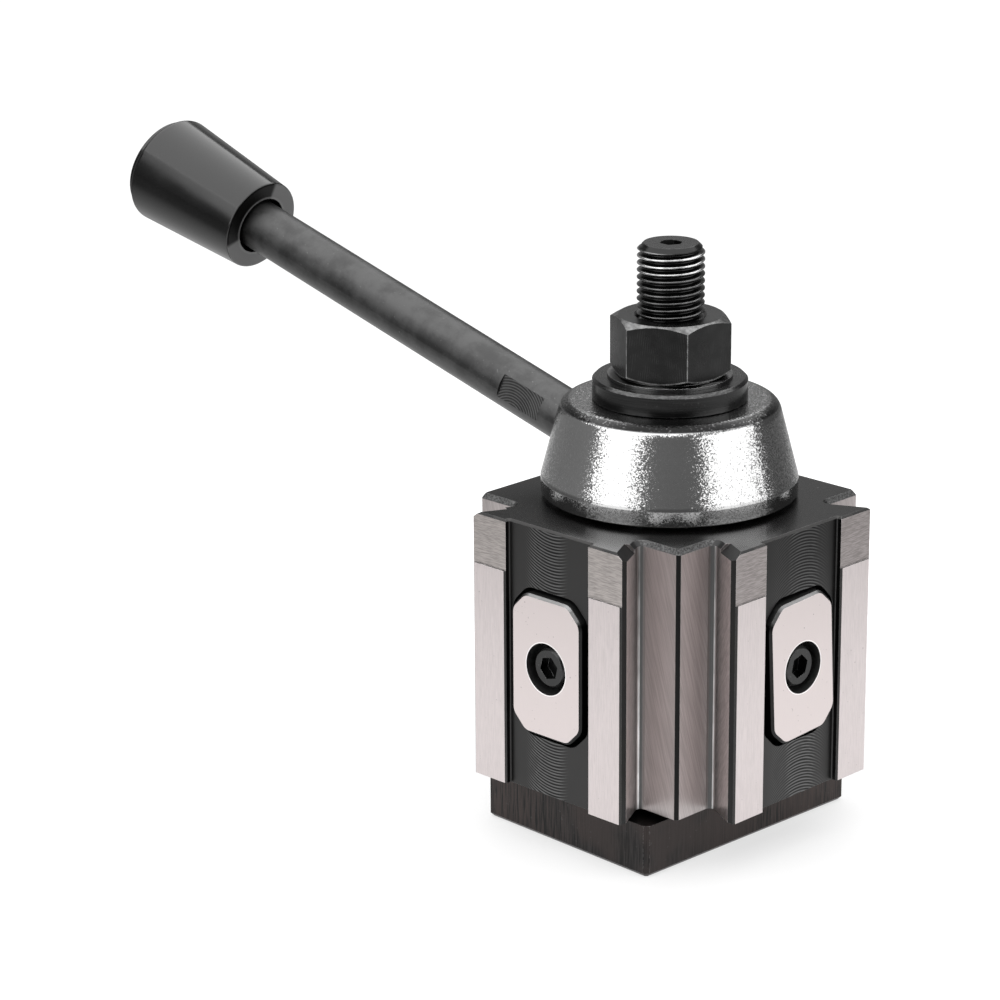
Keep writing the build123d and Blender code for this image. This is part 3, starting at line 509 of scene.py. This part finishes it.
# Handle hub: shot-blasted and chromed, so each tiny facet sparkles on its own
def hub_material():
    s = Shader("blasted_chrome")
    place = s.place()
    x, y, z = s.split(place)
    around = s.from_axis(x, y)
    inputs = {"Vector": place, "Scale": 4.6, "Randomness": 1.0}
    facets = s.add("ShaderNodeTexVoronoi", inputs).outputs["Color"]
    small = s.noise(place, 3.4, 2.0, 0.6)
    cloud = s.noise(place, 0.1, 3.0)
    on_top = s.ramp(z, HUB_FILLET_HEIGHT - 0.2, HUB_FILLET_HEIGHT + 0.2)
    level = s.ramp(s.split(s.normal())[2], 0.93, 0.99)
    on_band = s.ramp(around, HUB_BAND_RADIUS - 0.05, HUB_BAND_RADIUS + 0.1)
    rightward = s.math("DIVIDE", s.sum((x, 0.67), (y, 0.74)), around)
    tone = s.mix(cloud, grey(0.48), grey(0.55))
    # painted light round the hub: lighter towards -x and -y, darker towards +x and +y
    tone = s.scale(tone, s.ramp(rightward, -0.85, -0.3, 1.38, 1.1))
    tone = s.scale(tone, s.ramp(rightward, 0.5, 0.9, 1.0, 0.7))
    dots = s.ramp(s.noise(place, 1.9, 1.0), 0.60, 0.68)
    # speckled top, with painted shade: darker than the cone and darkest on its rounded edge
    top_tone = s.mix(dots, s.mix(level, grey(0.05), grey(0.245)), s.mix(level, grey(0.22), grey(0.5)))
    # painted shade: the top darker in front of the washer, towards +x and -y
    washer_shade = s.ramp(s.math("SUBTRACT", x, y), 20.0, 30.0, 1.0, 0.35)
    tone = s.mix(on_band, tone, grey(0.37))
    tone = s.mix(on_top, tone, s.scale(top_tone, washer_shade))
    bumped = s.bump(s.math("MULTIPLY", small, 0.012), s.edge(0.25))
    tilt = s.vector("SUBTRACT", facets, (0.5, 0.5, 0.5))
    tilt = s.scale(tilt, s.blend(on_band, 0.19, 0.15))
    tilted = s.vector("NORMALIZE", s.vector("ADD", bumped, tilt))
    s.set(Base_Color=tone, Metallic=1.0, Roughness=s.blend(on_top, 0.16, 0.22), Normal=tilted)
    return s.material


def lever_step(s, place):
    """Offset from the lever's foot on the stud's axis, and how far it goes along the lever."""
    offset = s.vector("SUBTRACT", place, tuple(lever_foot))
    return offset, s.vector("DOT_PRODUCT", offset, tuple(lever_along))


# Lever rod: mottled black oxide, with arcs on its wrench flats
def lever_material():
    s = Shader("lever_black_oxide")
    place = s.place()
    offset, step = lever_step(s, place)
    flat_out = Matrix.Rotation(WRENCH_FLAT_TURN, 3, lever_along) @ lever_level
    across = s.vector("DOT_PRODUCT", offset, tuple(flat_out))
    up = s.vector("DOT_PRODUCT", offset, tuple(lever_along.cross(flat_out)))
    flat = s.above(s.size(s.vector("DOT_PRODUCT", s.normal(), tuple(flat_out))), 0.97)
    flat = s.both(flat, s.both(s.above(step, WRENCH_FLAT_START), s.below(step, WRENCH_FLAT_END)))
    off_centre = s.join(s.math("SUBTRACT", step, WRENCH_ARC_STEP), s.math("ADD", up, WRENCH_ARC_DROP), 0.0)
    ring = s.math("MULTIPLY", s.vector("LENGTH", off_centre), 2 * pi / WRENCH_ARC_PITCH)
    arcs = s.both(s.math("SINE", ring), flat)
    cloud = s.noise(place, 0.16, 4.0, 0.65)
    fine = s.noise(place, 1.8, 3.0)
    drawn = s.noise(s.vector("MULTIPLY", s.join(step, across, up), (0.15, 2.0, 2.0)), 1.0, 3.0)
    tone = s.mix(s.ramp(cloud, 0.35, 0.65), grey(0.058), grey(0.09))
    tone = s.mix(s.math("MULTIPLY", arcs, 0.7, clamp=True), tone, grey(0.15))
    tone = s.mix(s.math("MULTIPLY", arcs, -0.6, clamp=True), tone, grey(0.02))
    specks = s.ramp(s.noise(place, 1.7, 2.0), 0.7, 0.76, 0.0, 0.5)
    tone = s.mix(specks, tone, grey(0.2))
    height = s.sum((fine, 0.006), (drawn, 0.008), (arcs, 0.006))
    return s.metal(tone, s.ramp(cloud, 0.35, 0.65, 0.36, 0.46), height, s.edge(0.1))


# Knob: gloss black plastic, matt on its small end, where one sector is painted in shade, its reflection
# turned down too, and the mouth's lip differs in tone
def knob_material():
    s = Shader("knob_gloss_black")
    place = s.place()
    offset, step = lever_step(s, place)
    small_end = s.below(step, KNOB_START + 0.15)
    cloud = s.noise(place, 0.1, 3.0)
    fine = s.noise(place, 2.0, 3.0)
    toward = lever_level * 0.755 + lever_along.cross(lever_level) * 0.656
    from_lever = s.vector("SUBTRACT", offset, s.scale(tuple(lever_along), step))
    facing = s.vector("DOT_PRODUCT", s.vector("NORMALIZE", from_lever), tuple(toward))
    shaded = s.ramp(facing, 0.42, 0.55)
    off_axis = s.vector("LENGTH", from_lever)
    lip = s.ramp(off_axis, KNOB_MOUTH_RADIUS + 0.4, KNOB_MOUTH_RADIUS + 0.65, 0.6, 0.0)
    # painted shade on one sector of the small end
    end_tone = s.mix(shaded, grey(0.075), grey(0.001))
    end_tone = s.mix(lip, end_tone, grey(0.12))
    tone = s.mix(small_end, s.mix(cloud, grey(0.001), grey(0.003)), end_tone)
    rough = s.blend(small_end, s.ramp(cloud, 0.3, 0.7, 0.14, 0.18), 0.5)
    # painted shade: the sector's reflection turned almost off too
    sheen = s.mix(s.both(shaded, small_end), grey(1.0), grey(0.02))
    s.set(Base_Color=tone, Roughness=rough, IOR=1.55, Specular_Tint=sheen)
    s.set(Normal=s.bump(s.math("MULTIPLY", fine, 0.003), s.edge(0.2)))
    return s.material


# Locking plate: ground face with worn edges and counterbore rim painted near-white as a glint, black sides
# whose upward faces are painted lighter, grey counterbore
def plate_material(name, facing, level):
    s = Shader(name)
    place, normal = s.place(), s.normal()
    z = s.split(place)[2]
    nz = s.split(normal)[2]
    outward = s.vector("DOT_PRODUCT", normal, facing)
    reach = s.vector("DOT_PRODUCT", place, facing)
    along = s.vector("DOT_PRODUCT", place, level)
    face = s.both(s.above(outward, 0.95), s.above(reach, PAD_REACH - 0.1))
    from_screw = s.vector("LENGTH", s.join(along, s.math("SUBTRACT", z, PISTON_HEIGHT), 0.0))
    bore = s.both(s.below(from_screw, COUNTERBORE_RADIUS + 0.1), s.below(outward, 0.5))
    grain = s.noise(s.vector("MULTIPLY", place, (7.0, 7.0, 0.3)), 1.0, 3.0)
    cloud = s.noise(place, 0.15, 3.0)
    specks = s.ramp(s.noise(place, 1.5, 1.0), 0.74, 0.8)
    bright = s.mix(grain, (0.645, 0.584, 0.576, 1), (0.705, 0.636, 0.628, 1))
    bright = s.mix(specks, bright, (0.4, 0.36, 0.36, 1))
    eased = s.edge(0.12)
    # worn edges and the counterbore's rim, with a near-white painted glint
    bore_rim_wear_and_glint = s.ramp(from_screw, COUNTERBORE_RADIUS + 0.12, COUNTERBORE_RADIUS + 0.3, 1.0, 0.0)
    bright = s.mix(s.math("MAXIMUM", s.worn(eased), bore_rim_wear_and_glint), bright, (1.0, 0.97, 0.96, 1))
    sides = s.mix(cloud, grey(0.016), grey(0.04))
    # painted light: faces turned upward painted lighter than the sides
    upward = s.mix(cloud, grey(0.14), grey(0.3))
    dark = s.mix(s.ramp(nz, 0.3, 0.6), sides, upward)
    dark = s.mix(bore, dark, s.mix(cloud, grey(0.22), grey(0.4)))
    tone = s.mix(face, dark, bright)
    rough = s.blend(face, 0.36, s.ramp(grain, 0.3, 0.7, 0.3, 0.4))
    return s.metal(tone, rough, s.sum((grain, 0.002)), eased)


# Plain metal with a stretched grain: turned steel of the hidden pieces and spring wire
def plain_material(name, low, high, rough, stretch):
    s = Shader(name)
    grain = s.noise(s.vector("MULTIPLY", s.place(), stretch), 1.0, 3.0)
    tone = s.mix(grain, low, high)
    return s.metal(tone, s.ramp(grain, 0.3, 0.7, rough, rough + 0.1), s.sum((grain, 0.004)))


# Knob insert: turned brass, with painted shade darkening the face that shows in the knob's mouth
def insert_material():
    s = Shader("insert_brass")
    place = s.place()
    step = lever_step(s, place)[1]
    face = KNOB_START + KNOB_MOUTH_DEPTH
    grain = s.noise(s.vector("MULTIPLY", place, (6.0, 1.0, 1.0)), 1.0, 3.0)
    tone = s.mix(grain, (0.70, 0.50, 0.20, 1), (0.80, 0.60, 0.28, 1))
    # painted shade: the end at the knob's mouth nearly black
    tone = s.mix(s.ramp(step, face + 0.3, face + 0.6), grey(0.012), tone)
    return s.metal(tone, s.ramp(grain, 0.3, 0.7, 0.28, 0.38), s.sum((grain, 0.004)))


turned_steel = plain_material("inner_turned_steel", grey(0.42), grey(0.56, 0.02), 0.28, (0.8, 0.8, 9.0))
spring_wire = plain_material("spring_wire", grey(0.24), grey(0.34), 0.3, (6.0, 6.0, 6.0))
screw_black = screw_material()

dress("post_body", body_material())
dress("t_nut_blank", t_nut_material())
dress("clamp_nut", nut_material())
dress("clamp_washer", washer_material())
dress("handle_hub", hub_material())
dress("lever_rod", lever_material())
dress("lever_knob", knob_material())
dress("knob_insert", insert_material())
dress("locking_plate_front", plate_material("plate_front_ground", (0.0, -1.0, 0.0), (1.0, 0.0, 0.0)))
dress("locking_plate_side", plate_material("plate_side_ground", (1.0, 0.0, 0.0), (0.0, 1.0, 0.0)))
for name in ("plate_screw_front", "plate_screw_side", "hub_screws"):
    dress(name, screw_black)
for name in ("centre_sleeve", "cam_thrust_washer", "cam_stop_pin", "cam_shaft", "hub_dowels",
             "piston_front", "piston_side", "guide_ring_front", "guide_ring_side"):
    dress(name, turned_steel)
dress("cam_retaining_ring", spring_wire)


# Pieces built in mesh code

def new_object(name, form, material):
    """Object in the scene, from a bmesh that it uses up."""
    mesh = bpy.data.meshes.new(name)
    form.to_mesh(mesh)
    form.free()
    mesh.materials.append(material)
    item = bpy.data.objects.new(name, mesh)
    scene.collection.objects.link(item)
    return item


def bridge(form, rings):
    """Faces from each ring of points to the next."""
    for one, other in zip(rings, rings[1:]):
        for k in range(len(one)):
            j = (k + 1) % len(one)
            form.faces.new((one[k], one[j], other[j], other[k]))


# Stud with its thread cut
def thread_radius(height, turn):
    """Radius of a 60 degree thread of the stud's pitch, at a height and an angle in turns."""
    step = (height / THREAD_PITCH - turn) % 1.0
    if step < THREAD_CREST:
        share = 0.0
    elif step < THREAD_CREST + THREAD_FLANK:
        share = (step - THREAD_CREST) / THREAD_FLANK
    elif step < 1 - THREAD_FLANK:
        share = 1.0
    else:
        share = (1 - step) / THREAD_FLANK
    return STUD_RADIUS - THREAD_DEPTH * share


def threaded_radius(height, turn):
    """The thread's radius, with its run-out at the bottom and the bevel at the stud's end."""
    run_out = STUD_RADIUS - THREAD_RUN_OUT * max(0.0, (height - THREAD_BOTTOM) / THREAD_PITCH)
    end_bevel = STUD_RADIUS - THREAD_END_BEVEL + (STUD_TOP - height)
    return min(max(thread_radius(height, turn), run_out), end_bevel)


def stud_ring(form, height, radius_at):
    """Ring of points round the stud, with the radius that belongs to each angle."""
    ring = []
    for k in range(STUD_POINTS):
        angle = 2 * pi * k / STUD_POINTS
        radius = radius_at(angle)
        ring.append(form.verts.new((radius * cos(angle) * MM, radius * sin(angle) * MM, height * MM)))
    return ring


def socket_radius(angle):
    return SOCKET_APOTHEM / cos(angle % (pi / 3) - pi / 6)


def stud_piece():
    form = bmesh.new()
    plain_rows = (
        (0.0, STUD_RADIUS - STUD_BEVEL),
        (STUD_BEVEL, STUD_RADIUS),
        (COLLAR_BOTTOM, STUD_RADIUS),
        (COLLAR_BOTTOM, COLLAR_RADIUS),
        (COLLAR_TOP, COLLAR_RADIUS),
        (COLLAR_TOP, STUD_RADIUS),
        (THREAD_BOTTOM - 0.6, STUD_RADIUS),
    )
    rings = [stud_ring(form, height, lambda angle: radius) for height, radius in plain_rows]
    length = STUD_TOP - THREAD_BOTTOM
    steps = int(length / THREAD_PITCH * THREAD_STEPS)
    for i in range(steps + 1):
        height = THREAD_BOTTOM + length * i / steps
        rings.append(stud_ring(form, height, lambda angle: threaded_radius(height, angle / (2 * pi))))
    bridge(form, rings)
    form.faces.new(list(reversed(rings[0])))

    # Hexagon socket in the top end
    rim = stud_ring(form, STUD_TOP, lambda angle: 1.09 * socket_radius(angle))
    lip = stud_ring(form, STUD_TOP - 0.2, socket_radius)
    deep = stud_ring(form, STUD_TOP - SOCKET_DEPTH, socket_radius)
    tip = form.verts.new((0, 0, (STUD_TOP - SOCKET_TIP) * MM))
    bridge(form, (rings[-1], rim, lip, deep))
    for k in range(STUD_POINTS):
        form.faces.new((deep[k], deep[(k + 1) % STUD_POINTS], tip))
    form.normal_update()

    piece = new_object("stud_threaded", form, thread_material())
    for polygon in piece.data.polygons:
        polygon.use_smooth = abs(polygon.normal.z) < 0.99
    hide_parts("centre_stud")
    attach(piece, "base")


stud_piece()


def spring_piece(station, facing, level):
    """Return spring of one face.
    """
    node = f"return_spring_{station}"
    low, high = (Vector(corner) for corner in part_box(node))
    near, far = sorted((facing.dot(low), facing.dot(high)))
    wire = SPRING_WIRE * MM
    coil = abs(level.dot(high - low)) / 2 - wire
    rise = far - near - 2 * wire
    upward = Vector((0, 0, 1))
    middle = upward * (low.z + high.z) / 2
    form = bmesh.new()
    rings = []
    steps = SPRING_TURNS * SPRING_STEPS
    for i in range(steps + 1):
        angle = 2 * pi * i / SPRING_STEPS
        outward = level * cos(angle) + upward * sin(angle)
        spot = middle + outward * coil + facing * (near + wire + rise * i / steps)
        ring = []
        for k in range(SPRING_SIDES):
            turn = 2 * pi * k / SPRING_SIDES
            ring.append(form.verts.new(spot + (outward * cos(turn) + facing * sin(turn)) * wire))
        rings.append(ring)
    bridge(form, rings)
    form.faces.new(list(reversed(rings[0])))
    form.faces.new(rings[-1])
    bmesh.ops.recalc_face_normals(form, faces=form.faces)

    piece = new_object(f"spring_{station}_wound", form, spring_wire)
    for polygon in piece.data.polygons:
        polygon.use_smooth = len(polygon.vertices) == 4
    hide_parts(node)
    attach(piece, "post")
    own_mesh(piece)


spring_piece("front", Vector((0, -1, 0)), Vector((1, 0, 0)))
spring_piece("side", Vector((1, 0, 0)), Vector((0, 1, 0)))


# Stage, light and camera

def floor_material():
    """Pale floor: white to the eye and in metal, fading in metal with the distance from the part."""
    s = Shader("pale_floor")
    s.tree.nodes.remove(s.surface)
    path = s.add("ShaderNodeLightPath").outputs
    away = s.vector("LENGTH", s.add("ShaderNodeTexCoord").outputs["Object"])
    to_eye = s.ramp(away, 0.05, 0.2, 0.66, 1.0)
    to_metal = s.ramp(away, 0.12, 0.52, 0.7, 0.13)
    own = s.ramp(away, 0.1, 0.5, 0.3, 0.05)
    strength = s.blend(path["Is Camera Ray"], to_metal, to_eye)
    seen = s.math("MAXIMUM", path["Is Camera Ray"], path["Is Glossy Ray"])
    seen = s.math("MAXIMUM", seen, path["Is Transmission Ray"])
    plain = s.add("ShaderNodeBsdfDiffuse", {"Color": grey(0.8)})
    soft = s.add("ShaderNodeBsdfDiffuse", {"Color": s.join(own, own, own)})
    glow = s.add("ShaderNodeEmission", {"Strength": strength})
    both = s.add("ShaderNodeAddShader", {0: soft.outputs[0], 1: glow.outputs[0]})
    choose = s.add("ShaderNodeMixShader", {0: seen, 1: plain.outputs[0], 2: both.outputs[0]})
    s.feed(s.tree.nodes["Material Output"].inputs["Surface"], choose.outputs[0])
    return s.material


form = bmesh.new()
bmesh.ops.create_circle(form, cap_ends=True, segments=96, radius=FLOOR_RADIUS)
floor = new_object("floor", form, floor_material())
floor.location.z = -FLOOR_DROP

# The studio that metal mirrors: dim, a little lighter behind and on one side
world = bpy.data.worlds.new("studio")
scene.world = world
world.use_nodes = True
studio = Nodes(world.node_tree)
path = studio.add("ShaderNodeLightPath").outputs
direction = studio.add("ShaderNodeTexCoord").outputs["Generated"]
behind = studio.math("MAXIMUM", studio.vector("DOT_PRODUCT", direction, (-0.74, 0.67, 0)), 0.0)
behind = studio.math("POWER", behind, 7.0)
beside = studio.vector("DOT_PRODUCT", direction, (-0.4, -0.92, 0))
mirrored = studio.math("ADD", studio.sum((behind, 0.25), (beside, 0.045)), MIRRORED_LEVEL)
strength = studio.blend(path["Is Glossy Ray"], WORLD_LEVEL, mirrored)
strength = studio.math("MAXIMUM", strength, path["Is Camera Ray"])
strength = studio.math("MAXIMUM", strength, path["Is Transmission Ray"])
back = studio.tree.nodes["Background"]
studio.feed(back.inputs["Color"], grey(1.0))
studio.feed(back.inputs["Strength"], strength)


def softbox(name, spot, turn, width, height, level):
    """Rectangle of light."""
    lamp = bpy.data.lights.new(name, "AREA")
    lamp.shape = "RECTANGLE"
    lamp.size, lamp.size_y = width, height
    lamp.energy = level * pi * width * height
    item = bpy.data.objects.new(name, lamp)
    item.location = spot
    item.rotation_euler = turn
    scene.collection.objects.link(item)


def facing_part(azimuth, elevation, distance):
    """Spot and turn of a lamp that faces the part's middle, from an azimuth and elevation in degrees."""
    azimuth, elevation = radians(azimuth), radians(elevation)
    out = Vector((cos(elevation) * cos(azimuth), cos(elevation) * sin(azimuth), sin(elevation)))
    return PART_MIDDLE + out * distance, out.to_track_quat("Z", "Y").to_euler()


softbox("softbox_left", *facing_part(-98.0, 21.5, 1.1), 0.80, 0.86, 2.1)
softbox("softbox_right", *facing_part(17.0, 17.5, 1.1), 1.15, 0.69, 2.1)
softbox("softbox_over", (-0.25, 0.2, 1.2), (0, 0, 0), 2.3, 2.77, 2.2)

camera_data = bpy.data.cameras.new("camera")
camera_data.sensor_fit = "HORIZONTAL"
camera_data.sensor_width = 36.0
camera_data.lens = CAMERA_LENS
camera_data.clip_start = 0.05
camera_data.clip_end = 20.0
camera = bpy.data.objects.new("camera", camera_data)
camera.matrix_world = (
    Matrix.Translation(CAMERA_SPOT)
    @ Matrix.Rotation(radians(CAMERA_TURN), 4, "Z")
    @ Matrix.Rotation(radians(90 - CAMERA_DIP), 4, "X")
    @ Matrix.Rotation(radians(CAMERA_ROLL), 4, "Z")
)
scene.collection.objects.link(camera)
scene.camera = camera
scene.view_settings.view_transform = "Standard"

bpy.context.view_layer.update()
